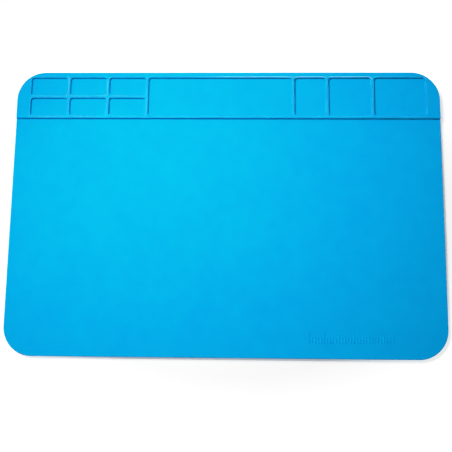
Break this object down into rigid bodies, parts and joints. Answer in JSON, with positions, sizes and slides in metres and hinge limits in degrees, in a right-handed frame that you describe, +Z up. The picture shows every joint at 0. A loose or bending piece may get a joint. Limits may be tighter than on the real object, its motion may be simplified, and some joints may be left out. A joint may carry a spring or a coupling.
{
  "type": "silicone repair mat",
  "caption": "Thin flat blue silicone bench mat with round corners and a low raised strip along its back edge, divided into shallow rectangular pockets for screws and small parts.",
  "frame": {"origin": "centre of the mat's box on its underside, where it lies on the bench", "axes": "+X along the long edges, +Y towards the edge with the raised pocket strip, +Z up out of the work surface"},
  "size_m": [0.3, 0.2, 0.003],
  "materials": {
    "blue_silicone": "satin moulded silicone rubber, fine matt texture"
  },
  "bodies": {
    "root": {"repair_mat": "blue_silicone"}
  },
  "joints": []
}
